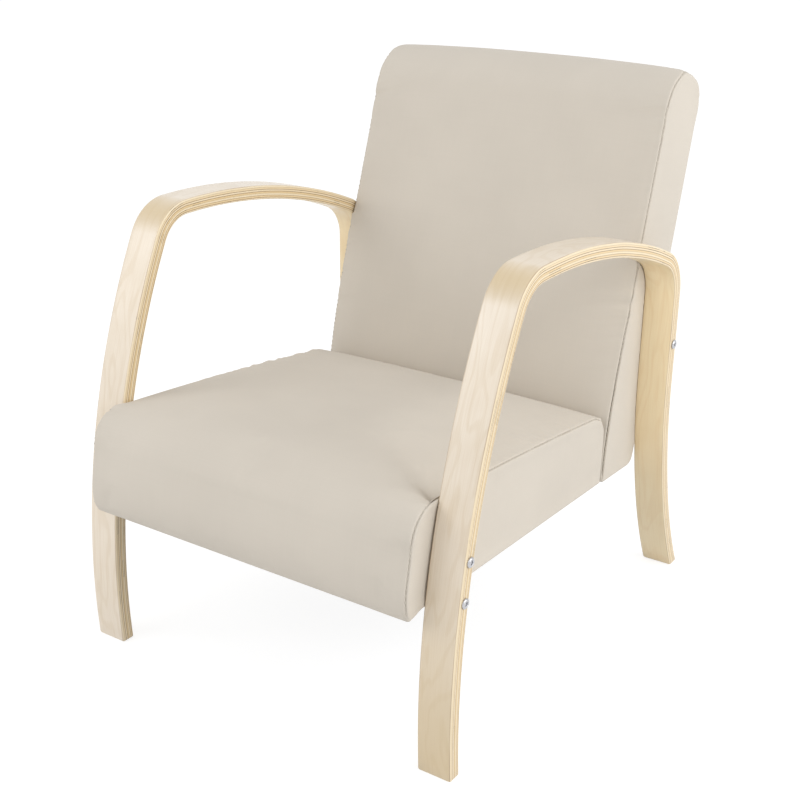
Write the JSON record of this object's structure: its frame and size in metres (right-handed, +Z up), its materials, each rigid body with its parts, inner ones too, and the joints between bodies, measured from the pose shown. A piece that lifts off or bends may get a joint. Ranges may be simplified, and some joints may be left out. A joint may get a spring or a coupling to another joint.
{
  "type": "lounge armchair",
  "caption": "Fixed lounge armchair: bent plywood side frames bolted to an upholstered box seat and a leaning upholstered back, standing on flat feet.",
  "frame": {"origin": "on the floor, under the middle of the chair's box", "axes": "+Z up, +Y to the rear, +X to the left of someone seated"},
  "size_m": [0.637, 0.8176, 0.8351],
  "materials": {
    "birch_plywood": "clear satin lacquer, plies showing on the edges",
    "upholstery_fabric": "plain woven greige cloth",
    "foam": "cut foam",
    "frame_timber": "planed, unfinished",
    "hardboard": "pressed, unfinished",
    "webbing": "elastic strap",
    "dust_cloth": "thin non-woven cloth",
    "zinc_steel": "bright zinc",
    "plate_steel": "zinc plated"
  },
  "bodies": {
    "root": {"left_side_frame": "birch_plywood", "right_side_frame": "birch_plywood", "seat_cover": "upholstery_fabric", "back_cover": "upholstery_fabric", "seat_foam": "foam", "back_foam": "foam", "seat_left_rail": "frame_timber", "seat_right_rail": "frame_timber", "seat_front_rail": "frame_timber", "seat_rear_rail": "frame_timber", "seat_frame_dowels": "frame_timber", "seat_corner_blocks": "frame_timber", "back_left_stile": "frame_timber", "back_right_stile": "frame_timber", "back_top_rail": "frame_timber", "back_middle_rail": "frame_timber", "back_bottom_rail": "frame_timber", "back_lower_rail": "frame_timber", "back_frame_dowels": "frame_timber", "back_rear_board": "hardboard", "seat_cross_webbing": "webbing", "seat_long_webbing": "webbing", "back_webbing": "webbing", "seat_dust_cover": "dust_cloth", "frame_bolts": "zinc_steel", "tee_nuts": "zinc_steel", "corner_block_screws": "zinc_steel", "joining_plate_screws": "zinc_steel", "joining_plates": "plate_steel"}
  },
  "joints": []
}
